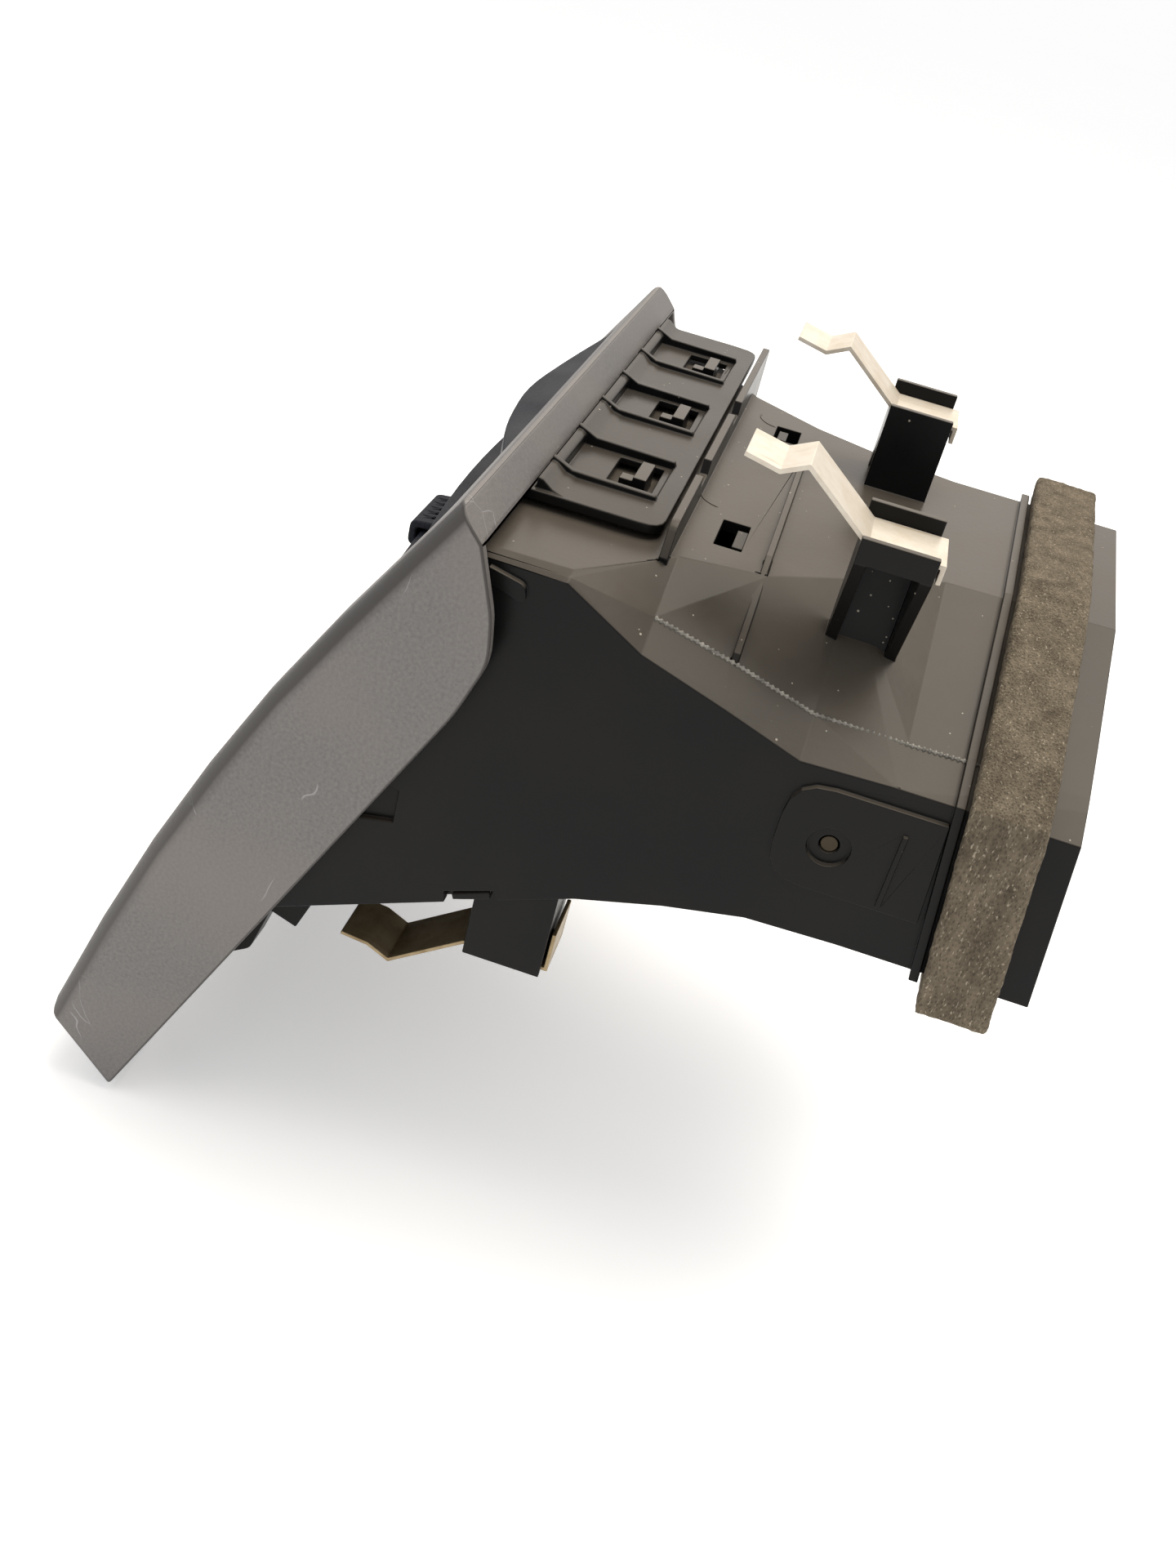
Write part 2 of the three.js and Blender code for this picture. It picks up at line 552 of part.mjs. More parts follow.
function vVane(index) {
  const x = vVaneX(index);
  const [x0, x1] = [x - V_VANE.thickness / 2, x + V_VANE.thickness / 2];
  const lower = (y) => bottomZ(y) + DUCT_WALL + 4;
  const plate = prismX([
    [V_AXIS_Y - V_VANE.half - 3.1, -6.2], [V_AXIS_Y + V_VANE.half - 3.1, -6.2],
    [-46.7, lower(-46.7)], [-74.9, lower(-74.9)],
  ], x0, x1);
  const rectangle = (axisZ, v0, v1, w) => (
    [[v0, -w], [v1, -w], [v1, w], [v0, w]].map(([v, up]) => fromAxis(axisZ, v, up))
  );
  const notch = prismX(rectangle(V_LINK_Z, 4, 20, 3.4), x0 - 1, x1 + 1);
  const [pinY, pinZ] = fromAxis(V_LINK_Z, V_CRANK, 0);
  const top = vAxisPoint(-4.9);
  const foot = vAxisPoint(-68.4);
  const pins = join(
    rodRaked(V_PIN_RADIUS, 3.6, x, top.y, top.z),
    rodRaked(V_PIN_RADIUS, 4.4, x, foot.y, foot.z),
    rodRaked(1, 7.6, x, pinY, pinZ, 12),
  );
  const vane = join(plate.subtract(notch), pins);
  if (index !== V_MIDDLE) return vane;
  const anchor = FORK_Z - V_POST * RAKE_SIN;
  const arm = prismX(rectangle(anchor, -V_POST - 1, 2, 8.4), x0, x1);
  const gapBehindPost = prismX(rectangle(anchor, -V_POST, -4, 6.4), x0 - 1, x1 + 1);
  const [postY, postZ] = fromAxis(anchor, -V_POST, 0);
  return vane.add(arm).subtract(gapBehindPost).add(rodRaked(1.4, 16.8, x, postY, postZ));
}

function vVaneLink() {
  const [y, z] = fromAxis(V_LINK_Z, V_CRANK, 0);
  const halfDepth = 2.4;
  const halfHeight = 1.2;
  const corner = (v, w) => [y + v * RAKE_COS + w * RAKE_SIN, z - v * RAKE_SIN + w * RAKE_COS];
  const bar = prismX([
    corner(-halfDepth, -halfHeight), corner(halfDepth, -halfHeight), corner(halfDepth, halfHeight),
    corner(-halfDepth, halfHeight),
  ], vVaneX(0) - 4, vVaneX(V_VANE.count - 1) + 4);
  const seats = Array.from({ length: V_VANE.count }, (_, i) => join(
    rodRaked(1.3, 6, vVaneX(i), y, z),
    prismX([corner(0, -3), corner(5, -3), corner(5, 3), corner(0, 3)], vVaneX(i) - 0.9, vVaneX(i) + 0.9),
  ));
  return bar.subtract(join(seats));
}

// ---- slider on the middle vane ----
function sliderKnob() {
  const { y, z } = hVanePivot(H_GRIPPED);
  const x = vVaneX(V_MIDDLE);
  const nose = y - H_VANE.front - H_VANE.crown;
  const [front, half] = [nose - KNOB.proud, KNOB.height / 2];
  const profile = [
    [front, z - half + 1, 1.5], [nose + 7, z - half, 1], [nose + 7, z + half, 1], [front, z + half - 1, 1.5],
  ];
  const grooves = [-5, -2.5, 0, 2.5, 5].map((dx) => (
    block(x + dx - 0.4, x + dx + 0.4, front - 1, nose + 2, z + half - 0.9, z + half + 1)
  ));
  return prismX(profile, x - KNOB.width / 2, x + KNOB.width / 2)
    .subtract(block(x - KNOB.width, x + KNOB.width, nose - 0.6, nose + 9, z - 1.3, z + 1.3))
    .subtract(join(grooves));
}

function sliderFork() {
  const { y, z } = hVanePivot(H_GRIPPED);
  const x = vVaneX(V_MIDDLE);
  const top = z - H_VANE.thickness / 2 - GAP;
  const front = y - H_VANE.front - H_VANE.crown + 7.4;
  const plan = [
    [x - 6, front], [x + 6, front], [x + 6, y - 3, 2], [x + 4, y + 2], [x + 4, y + 11],
    [x + 1.8, y + 11], [x + 1.8, y + 3], [x - 1.8, y + 3], [x - 1.8, y + 11],
    [x - 4, y + 11], [x - 4, y + 2], [x - 6, y - 3, 2],
  ];
  return prismZ(plan, top - 2, top);
}

// ---- damper drive ----
function crankPin(y, z) {
  return { y: y + CRANK * Math.cos(CRANK_ANGLE), z: z + CRANK * Math.sin(CRANK_ANGLE) };
}

function thumbwheel() {
  const { x0, x1, y, z, radius } = WHEEL;
  const ribs = 48;
  const rim = Array.from({ length: ribs * 2 }, (_, i) => {
    const angle = (i * Math.PI) / ribs;
    const r = i % 2 ? radius : radius - 0.7;
    return [y + r * Math.cos(angle), z + r * Math.sin(angle)];
  });
  const recess = rodX(radius - 3.5, x0 - 1, x0 + 2, y, z, 36).subtract(rodX(5, x0 - 2, x0 + 3, y, z));
  const pin = crankPin(y, z);
  return prismX(rim, x0, x1)
    .subtract(recess)
    .add(rodX(1.5, x1 - 1, x1 + 3.1, pin.y, pin.z))
    .subtract(rodX(2.1 + GAP, x0 - 1, x1 + 1, y, z));
}

function damperRod() {
  const front = crankPin(WHEEL.y, WHEEL.z);
  const rear = crankPin(DAMPER.y, DAMPER.z);
  const thick = 2;
  const xFront = -64.8;
  const xRear = -34.2;
  const plan = [
    [xFront, front.y - 3.2], [xFront + thick, front.y - 3.2], [xFront + thick, -27], [xRear + thick, 6],
    [xRear + thick, rear.y + 3.2], [xRear, rear.y + 3.2], [xRear, 7.2], [xFront, -25.8],
  ];
  const bar = prismZ(plan, front.z - 2.2, front.z + 2.2);
  const eyes = join(
    rodX(3.4, xFront, xFront + thick, front.y, front.z),
    rodX(3.4, xRear, xRear + thick, rear.y, rear.z),
  );
  const ends = block(-BIG, BIG, front.y, rear.y, -BIG, BIG);
  return join(bar.intersect(ends), eyes)
    .subtract(rodX(1.8, xFront - 1, xFront + 3, front.y, front.z))
    .subtract(rodX(2.1, xRear - 1, xRear + 3, rear.y, rear.z));
}

function damperLever() {
  const pin = crankPin(DAMPER.y, DAMPER.z);
  const [x0, x1] = [-31.4, -29.4];
  const [uy, uz] = [Math.cos(CRANK_ANGLE) * 2.6, Math.sin(CRANK_ANGLE) * 2.6];
  const web = prismX([
    [DAMPER.y + uz, DAMPER.z - uy], [pin.y + uz, pin.z - uy],
    [pin.y - uz, pin.z + uy], [DAMPER.y - uz, DAMPER.z + uy],
  ], x0, x1);
  const rounds = join(
    rodX(2.6, x0, x1, pin.y, pin.z),
    rodX(4, x0 - 1, x1, DAMPER.y, DAMPER.z),
    rodX(1.5, x0 - 3.6, x1, pin.y, pin.z),
  );
  return join(web, rounds).subtract(rodX(DAMPER.shaft + GAP, x0 - 5, x1 + 5, DAMPER.y, DAMPER.z));
}

function damperShaft() {
  return rodX(DAMPER.shaft, -33, DUCT_SIDE_X - 0.2, DAMPER.y, DAMPER.z, 16);
}

// The flap lies level when open; its rear half is the longer one and follows the duct's cut corner
function flapPlan(inset) {
  const { y, x0, x1, up, down } = DAMPER;
  return [
    [x0 + inset, y - down + inset], [x1 - inset, y - down + inset], [x1 - inset, y + 11 - inset],
    [63.5 - inset, y + 14.4 - inset], [28 - inset / 2, y + up - inset], [x0 + inset, y + up - inset],
  ];
}

function damperFlap() {
  const { y, z, x0, x1 } = DAMPER;
  const hub = rodX(3.2, x0 + 1, x1 - 1, y, z);
  const stiffeners = [5, 40].map((x) => block(x, x + 1.4, y - 12, y + 13, z - 2.6, z));
  return join(prismZ(flapPlan(1), z - 0.9, z + 0.9), hub, stiffeners)
    .subtract(rodX(DAMPER.shaft + GAP, -BIG, BIG, y, z, 16));
}

// Foam on one side of the hub: side is 1 for the rear half and -1 for the front half
function damperSeal(side) {
  const { y, z } = DAMPER;
  const edge = y + side * 3.8;
  const [y0, y1] = side > 0 ? [edge, BIG] : [-BIG, edge];
  const half = block(-BIG, BIG, y0, y1, -BIG, BIG);
  return prismZ(flapPlan(0.4), z + 1.2, z + 3.4).intersect(half);
}

// ---- assembly ----
const vent = new THREE.Group();

function addPart(name, body, look) {
  const { vertProperties, triVerts } = body.getMesh();
  const geometry = new THREE.BufferGeometry();
  geometry.setAttribute('position', new THREE.BufferAttribute(new Float32Array(vertProperties), 3));
  geometry.setIndex(new THREE.BufferAttribute(new Uint32Array(triVerts), 1));
  geometry.computeVertexNormals();
  const mesh = new THREE.Mesh(geometry, new THREE.MeshStandardMaterial(looks[look]));
  mesh.name = name;
  vent.add(mesh);
}

addPart('bezel', bezel(), 'paint');
addPart('front_frame', frontFrame(), 'plastic');
addPart('duct_housing', ductHousing(), 'plastic');
addPart('bottom_cover', bottomCover(), 'plastic');
addPart('inlet_gasket', inletGasket(), 'foam');
addPart('left_retainer', sideRetainer(-57.3), 'plastic');
addPart('right_retainer', sideRetainer(69.3), 'plastic');
addPart('upper_vane_rail', upperVaneRail(), 'plastic');
addPart('lower_vane_rail', lowerVaneRail(), 'plastic');
for (let i = 0; i < H_VANE.count; i += 1) addPart(`h_vane_${i + 1}`, hVane(i), 'vane');
addPart('h_vane_link', hVaneLink(), 'link');
for (let i = 0; i < V_VANE.count; i += 1) addPart(`v_vane_${i + 1}`, vVane(i), 'vane');
addPart('v_vane_link', vVaneLink(), 'link');
addPart('slider_knob', sliderKnob(), 'grip');
addPart('slider_fork', sliderFork(), 'link');
addPart('thumbwheel', thumbwheel(), 'grip');
addPart('damper_rod', damperRod(), 'link');
addPart('damper_lever', damperLever(), 'link');
addPart('damper_shaft', damperShaft(), 'steel');
addPart('damper_flap', damperFlap(), 'plastic');
addPart('damper_seal_rear', damperSeal(1), 'foam');
addPart('damper_seal_front', damperSeal(-1), 'foam');
addPart('upper_clip_near', upperClip(UPPER_TOWERS.near), 'spring');
addPart('upper_clip_far', upperClip(UPPER_TOWERS.far), 'spring');
addPart('lower_clip_near', lowerClip(LOWER_TOWERS.near), 'spring');
addPart('lower_clip_far', lowerClip(LOWER_TOWERS.far), 'spring');

export default vent;
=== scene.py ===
"""A dashboard air vent around its CAD frame: finishes, softened edges, foam and moulded details."""

import json
import math

import bmesh
import bpy
from mathutils import Matrix, Vector, noise

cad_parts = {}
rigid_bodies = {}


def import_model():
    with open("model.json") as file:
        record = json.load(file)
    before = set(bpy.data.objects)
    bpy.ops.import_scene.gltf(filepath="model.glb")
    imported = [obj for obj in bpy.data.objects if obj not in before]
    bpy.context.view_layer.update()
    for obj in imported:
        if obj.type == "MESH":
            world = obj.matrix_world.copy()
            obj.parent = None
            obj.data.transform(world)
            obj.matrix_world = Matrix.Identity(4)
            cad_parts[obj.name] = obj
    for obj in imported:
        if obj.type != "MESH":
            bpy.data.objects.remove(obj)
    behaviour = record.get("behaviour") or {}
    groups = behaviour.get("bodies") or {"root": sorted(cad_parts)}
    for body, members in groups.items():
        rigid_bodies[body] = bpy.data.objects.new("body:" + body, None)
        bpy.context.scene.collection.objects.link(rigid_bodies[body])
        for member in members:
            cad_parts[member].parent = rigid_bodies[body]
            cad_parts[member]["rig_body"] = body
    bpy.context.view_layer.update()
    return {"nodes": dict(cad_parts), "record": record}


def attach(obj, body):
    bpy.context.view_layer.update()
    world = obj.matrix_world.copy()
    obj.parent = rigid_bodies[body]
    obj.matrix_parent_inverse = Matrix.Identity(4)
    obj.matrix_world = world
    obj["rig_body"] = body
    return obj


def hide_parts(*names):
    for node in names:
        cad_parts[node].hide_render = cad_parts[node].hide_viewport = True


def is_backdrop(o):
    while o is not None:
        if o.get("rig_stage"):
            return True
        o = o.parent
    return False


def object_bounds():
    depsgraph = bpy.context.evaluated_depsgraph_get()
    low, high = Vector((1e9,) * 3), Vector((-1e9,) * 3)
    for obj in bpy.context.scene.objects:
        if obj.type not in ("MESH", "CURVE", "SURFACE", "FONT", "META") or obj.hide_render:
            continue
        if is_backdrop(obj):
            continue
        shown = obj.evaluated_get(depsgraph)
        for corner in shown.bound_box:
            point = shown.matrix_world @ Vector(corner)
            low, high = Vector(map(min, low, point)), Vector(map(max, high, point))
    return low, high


MM = 0.001
UP = Vector((0, 0, 1))
CAD_BODY = "duct_body"

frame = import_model()
NODES = frame["nodes"]

# CAD vertices closer together than this are merged
WELD_GAP = 0.005 * MM


def placed(name, data):
    """A new object in the scene that shows the given mesh, light or camera."""
    obj = bpy.data.objects.new(name, data)
    bpy.context.scene.collection.objects.link(obj)
    return obj


# ---- materials ----
class Graph:
    """A material's node tree, with short calls to add and join nodes."""

    def __init__(self, name):
        self.material = bpy.data.materials.new(name)
        self.material.use_nodes = True
        self.tree = self.material.node_tree
        self.shader = self.tree.nodes["Principled BSDF"]
        self.place = self.add("ShaderNodeTexCoord").outputs["Object"]

    def add(self, kind, **settings):
        node = self.tree.nodes.new(kind)
        for key, value in settings.items():
            setattr(node, key, value)
        return node

    def feed(self, socket, value):
        """Links another node's output to a socket, or sets the socket's own value."""
        if isinstance(value, bpy.types.NodeSocket):
            self.tree.links.new(value, socket)
        else:
            socket.default_value = value

    def put(self, node, **inputs):
        for key, value in inputs.items():
            self.feed(node.inputs[key.replace("_", " ")], value)

    def set(self, **inputs):
        self.put(self.shader, **inputs)

    def noise(self, scale, detail=2.0, rough=0.5, place=None):
        node = self.add("ShaderNodeTexNoise")
        self.put(node, Vector=place or self.place, Scale=scale, Detail=detail, Roughness=rough)
        return node.outputs["Fac"]

    def cells(self, scale, feature="F1", output="Distance", place=None):
        node = self.add("ShaderNodeTexVoronoi", feature=feature)
        self.put(node, Vector=place or self.place, Scale=scale)
        return node.outputs[output]

    def stretch(self, scale, turn=(0, 0, 0)):
        node = self.add("ShaderNodeMapping")
        self.put(node, Vector=self.place, Scale=scale, Rotation=turn)
        return node.outputs["Vector"]

    def ramp(self, value, low, high, to_low=0.0, to_high=1.0):
        node = self.add("ShaderNodeMapRange")
        self.put(node, Value=value, From_Min=low, From_Max=high, To_Min=to_low, To_Max=to_high)
        return node.outputs["Result"]

    def math(self, kind, a, b=0.0):
        node = self.add("ShaderNodeMath", operation=kind)
        for socket, value in zip(node.inputs, (a, b)):
            self.feed(socket, value)
        return node.outputs["Value"]

    def mix(self, share, a, b):
        """A colour between a and b; a mix node keeps its colour sockets at places 6, 7 and 2."""
        node = self.add("ShaderNodeMix", data_type="RGBA")
        for index, value in ((0, share), (6, a), (7, b)):
            self.feed(node.inputs[index], value)
        return node.outputs[2]

    def facing(self, axis):
        """How far the surface faces along one of the object's axes, from -1 to 1."""
        node = self.add("ShaderNodeSeparateXYZ")
        self.tree.links.new(self.add("ShaderNodeTexCoord").outputs["Normal"], node.inputs["Vector"])
        return node.outputs[axis]

    def bump(self, height, distance, strength=1.0):
        node = self.add("ShaderNodeBump")
        self.put(node, Height=height, Distance=distance, Strength=strength)
        self.tree.links.new(node.outputs["Normal"], self.shader.inputs["Normal"])

    def dust(self, scale, size, share):
        """Sparse specks: the middles of a few of the cells."""
        near = self.ramp(self.cells(scale), size, size * 0.4)
        chosen = self.cells(scale, output="Color")
        red = self.add("ShaderNodeSeparateColor")
        self.tree.links.new(chosen, red.inputs["Color"])
        few = self.ramp(red.outputs["Red"], 1 - share, 1 - share + 0.01)
        return self.math("MULTIPLY", near, few)

    def scratches(self, scale, turn, share):
        """Thin broken lines along the edges of long cells."""
        bent = self.add("ShaderNodeVectorMath", operation="ADD")
        sway = self.add("ShaderNodeTexNoise")
        self.put(sway, Vector=self.place, Scale=60.0, Detail=2.0)
        small = self.add("ShaderNodeVectorMath", operation="SCALE")
        self.tree.links.new(sway.outputs["Color"], small.inputs[0])
        small.inputs["Scale"].default_value = 0.012
        self.tree.links.new(self.place, bent.inputs[0])
        self.tree.links.new(small.outputs["Vector"], bent.inputs[1])
        turned = self.add("ShaderNodeMapping")
        self.put(turned, Vector=bent.outputs["Vector"], Scale=(1.0, 1.0, 0.35), Rotation=turn)
        edge = self.cells(scale, feature="DISTANCE_TO_EDGE", place=turned.outputs["Vector"])
        line = self.ramp(edge, 0.007, 0.002)
        where = self.ramp(self.noise(75.0, 1.0), 1 - share, 1 - share + 0.04)
        return self.math("MULTIPLY", line, where)


def rgb(red, green, blue):
    return (red, green, blue, 1.0)


def paint():
    """Satin grey with scratches, and painted shade where the face rolls between its front and its
    cheeks.
    """
    g = Graph("satin_grey_paint")
    mottle = g.noise(1500.0, 3.0, 0.7)
    cloud = g.noise(35.0, 2.0)
    base = g.mix(g.ramp(mottle, 0.3, 0.7), rgb(0.120, 0.113, 0.109), rgb(0.190, 0.180, 0.174))
    warm = g.mix(g.ramp(cloud, 0.35, 0.7, 0.0, 0.5), base, rgb(0.20, 0.178, 0.165))
    scuffs = g.math("MULTIPLY", g.scratches(80.0, (0.5, 0.0, 0.0), 0.38), 0.45)
    scratched = g.mix(scuffs, warm, rgb(0.42, 0.42, 0.43))
    # Painted shade: where the face rolls from its front to a cheek, its colour is mixed towards
    # near-black.
    sideways = g.math("ABSOLUTE", g.facing("X"))
    off_cheek = g.ramp(sideways, 0.995, 0.88)
    off_front = g.ramp(sideways, 0.05, 0.35, 0.0, 0.85)
    painted_roll_shade = g.math("MULTIPLY", off_cheek, off_front)
    g.set(Base_Color=g.mix(painted_roll_shade, scratched, rgb(0.045, 0.041, 0.038)), Metallic=0.35)
    g.set(Roughness=g.ramp(mottle, 0.2, 0.8, 0.42, 0.58))
    g.set(Specular_IOR_Level=0.5)
    g.bump(g.noise(2600.0, 2.0, 0.6), 0.00004, 0.5)
    return g.material


def plastic(name, top_sheen):
    """Glossy black plastic with specks of dust; the second argument sets how strongly a painted sheen
    of overhead light lightens the faces that look up.
    """
    g = Graph(name)
    haze = g.noise(28.0, 4.0, 0.6)
    fine = g.noise(900.0, 2.0)
    clean, worn = rgb(0.0045, 0.0045, 0.0050), rgb(0.0085, 0.0080, 0.0072)
    bare = g.mix(g.ramp(haze, 0.35, 0.75), clean, worn)
    # Painted sheen: faces that look up are lightened towards a pale grey-brown, standing in for
    # overhead light on them.
    upward = g.ramp(g.facing("Z"), 0.35, 0.85)
    painted_top_sheen = g.math("MULTIPLY", upward, g.ramp(haze, 0.25, 0.6, 0.65 * top_sheen, top_sheen))
    base = g.mix(painted_top_sheen, bare, rgb(0.098, 0.084, 0.068))
    specks = g.math("MAXIMUM", g.dust(190.0, 0.05, 0.5), g.dust(420.0, 0.075, 0.3))
    g.set(Base_Color=g.mix(specks, base, rgb(0.42, 0.38, 0.31)))
    g.set(Specular_IOR_Level=0.14)
    g.set(Roughness=g.ramp(haze, 0.3, 0.75, 0.25, 0.40))
    g.bump(g.math("ADD", fine, g.math("MULTIPLY", g.noise(140.0, 2.0), 1.5)), 0.00003, 0.6)
    return g.material


def fine_grain(name, low, high, rough, specular, scale=1800.0):
    """A surface whose colour varies in fine grains between low and high: moulded plastic, and the
    fold's painted highlight.
    """
    g = Graph(name)
    g.set(Specular_IOR_Level=specular)
    grain = g.noise(scale, 3.0, 0.6)
    g.set(Base_Color=g.mix(g.ramp(grain, 0.3, 0.7), low, high))
    g.set(Roughness=g.ramp(g.noise(60.0), 0.3, 0.7, rough - 0.06, rough + 0.06))
    g.bump(grain, 0.00004, 0.7)
    return g.material


def coated_spring(name, light, dark, metallic):
    """A patchy coating on spring strip, with lengthwise lines worn through to the metal."""
    g = Graph(name)
    patches = g.noise(160.0, 4.0, 0.65)
    lines = g.noise(900.0, 2.0, 0.5, g.stretch((1.0, 0.08, 0.08)))
    base = g.mix(g.ramp(patches, 0.4, 0.75), light, dark)
    worn = g.mix(g.ramp(lines, 0.62, 0.75, 0.0, 0.5), base, rgb(0.42, 0.32, 0.20))
    g.set(Base_Color=worn, Metallic=metallic)
    g.set(Roughness=g.ramp(patches, 0.3, 0.8, 0.32, 0.5))
    g.bump(lines, 0.00003, 0.5)
    return g.material


def steel():
    g = Graph("drawn_steel")
    lines = g.noise(700.0, 2.0, 0.5, g.stretch((0.05, 1.0, 1.0)))
    # Painted shade: the steel's base is made very dark for the shaft end deep in its recess; the
    # bronze tint is the colour the hole shows.
    shaded_bronze = g.mix(lines, rgb(0.028, 0.023, 0.016), rgb(0.075, 0.060, 0.042))
    g.set(Base_Color=shaded_bronze, Metallic=1.0)
    g.set(Roughness=g.ramp(lines, 0.3, 0.7, 0.35, 0.55))
    return g.material


def foam():
    g = Graph("open_cell_foam")
    long = g.stretch((1.0, 1.0, 0.42), (0.18, 0.0, 0.0))
    cell = g.cells(2600.0, place=long)
    blotch = g.noise(230.0, 5.0, 0.75, long)
    base = g.mix(g.ramp(blotch, 0.32, 0.70), rgb(0.085, 0.068, 0.048), rgb(0.205, 0.168, 0.120))
    # Painted shade: the pores at the cells' middles are darkened.
    pore_shade = g.mix(g.ramp(cell, 0.50, 0.12, 0.0, 0.55), base, rgb(0.030, 0.024, 0.018))
    flecks = g.ramp(g.noise(2300.0, 2.0, 0.6, long), 0.60, 0.72, 0.0, 0.7)
    lit = g.mix(flecks, pore_shade, rgb(0.44, 0.38, 0.29))
    g.set(Base_Color=lit, Roughness=0.95)
    g.set(Specular_IOR_Level=0.15)
    g.bump(g.math("ADD", g.math("MULTIPLY", cell, -1.0), blotch), 0.00025, 1.0)
    return g.material


# Painted highlight: the fold bead's light grey stands in for the glint along a glossy ridge.
FOLD_HIGHLIGHT_SHADES = (rgb(0.07, 0.065, 0.055), rgb(0.34, 0.32, 0.28))
VANE_SHADES = (rgb(0.007, 0.008, 0.012), rgb(0.016, 0.018, 0.026))
LINK_SHADES = (rgb(0.24, 0.23, 0.20), rgb(0.32, 0.31, 0.28))
GRIP_SHADES = (rgb(0.010, 0.011, 0.016), rgb(0.022, 0.024, 0.032))
CREAM_SHADES = (rgb(0.64, 0.58, 0.49), rgb(0.52, 0.44, 0.34))
# Painted shade: a darker bronze copy of the spring strip for the lower clips, which sit in shade.
SHADED_SPRING_SHADES = (rgb(0.34, 0.26, 0.15), rgb(0.20, 0.14, 0.07))
LOOKS = {
    "paint": paint(),
    # The second argument of each plastic sets the strength of its painted top sheen.
    "plastic": plastic("black_plastic", 0.45),
    "bright_sheen_plastic": plastic("bright_sheen_black_plastic", 0.85),
    "fold": fine_grain("fold_painted_highlight", *FOLD_HIGHLIGHT_SHADES, rough=0.25, specular=0.5, scale=420.0),
    "vane": fine_grain("blue_black_grain", *VANE_SHADES, rough=0.5, specular=0.12),
    "link": fine_grain("natural_acetal", *LINK_SHADES, rough=0.42, specular=0.5, scale=500.0),
    "spring": coated_spring("cream_spring_strip", *CREAM_SHADES, metallic=0.2),
    "shaded_spring": coated_spring("shaded_spring_strip", *SHADED_SPRING_SHADES, metallic=0.7),
    "steel": steel(),
    "foam": foam(),
    "grip": fine_grain("soft_touch", *GRIP_SHADES, rough=0.72, specular=0.2, scale=2600.0),
}
SLOT_OF = {row["node"]: row["material_slot"] for row in frame["record"]["subparts"]}
LOOK_OF = {
    # The duct takes the plastic with the stronger painted top sheen.
    "duct_housing": "bright_sheen_plastic",
    # The lower clips take the painted shaded copy of the spring strip.
    "lower_clip_near": "shaded_spring",
    "lower_clip_far": "shaded_spring",
}


# ---- CAD nodes: softened edges and finishes ----
# Widths of the softened edges, in millimetres
EDGE = {
    "bezel": 0.6,
    "front_frame": 0.3,
    "thumbwheel": 0.12,
    "slider_knob": 0.5,
    "upper_clip_near": 0.12,
    "upper_clip_far": 0.12,
}
EDGE_DEFAULT = 0.2
# An edge sharper than this many degrees is softened; the faceted nodes have shallow real creases
CREASE = {"duct_housing": 4, "bottom_cover": 4, "damper_flap": 10}
CREASE_DEFAULT = 28
# Faces that meet within this many degrees count as one flat face
FLAT_WITHIN = 0.6


def soften(node, width):
    """Rounds a node's sharp edges by modifiers; its own vertices stay as packed."""
    obj = NODES[node]
    if "custom_normal" in obj.data.attributes:
        obj.data.attributes.remove(obj.data.attributes["custom_normal"])
    obj.data.shade_smooth()
    weld = obj.modifiers.new("weld", "WELD")
    weld.merge_threshold = WELD_GAP
    flat = obj.modifiers.new("flat", "DECIMATE")
    flat.decimate_type = "DISSOLVE"
    flat.angle_limit = math.radians(FLAT_WITHIN)
    bevel = obj.modifiers.new("edges", "BEVEL")
    bevel.width = width * MM
    bevel.segments = 3
    bevel.limit_method = "ANGLE"
    bevel.angle_limit = math.radians(CREASE.get(node, CREASE_DEFAULT))
    bevel.use_clamp_overlap = False
    bevel.miter_outer = "MITER_ARC"
    normals = obj.modifiers.new("normals", "WEIGHTED_NORMAL")
    normals.weight = 80
    normals.keep_sharp = False


for node, obj in NODES.items():
    soften(node, EDGE.get(node, EDGE_DEFAULT))
    obj.data.materials.clear()
    obj.data.materials.append(LOOKS[LOOK_OF.get(node, SLOT_OF[node])])

# The front frame's ring and brow, ahead of the snap panel, have the vanes' matt finish;
# its lower brackets stay glossy
PANEL_FRONT_Y = -57.3 * MM
BRACKETS_TOP_Z = -80 * MM
front_frame = NODES["front_frame"].data
front_frame.materials.append(LOOKS["vane"])
for face in front_frame.polygons:
    ahead = face.center.y < PANEL_FRONT_Y and face.center.z > BRACKETS_TOP_Z
    face.material_index = 1 if ahead else 0


# ---- foam pieces ----
# Each foam solid's voxel size in millimetres and its piece's name
FOAM = {
    "inlet_gasket": (0.75, "inlet_foam"),
    "damper_seal_rear": (0.8, "damper_foam_rear"),
    "damper_seal_front": (0.8, "damper_foam_front"),
}
SMOOTHINGS = 4
# Unevenness of the foam: waves per metre and height in millimetres
SWELL = (130, 0.16)
PITS = (620, 0.10)
CELLS = (1500, 0.07)


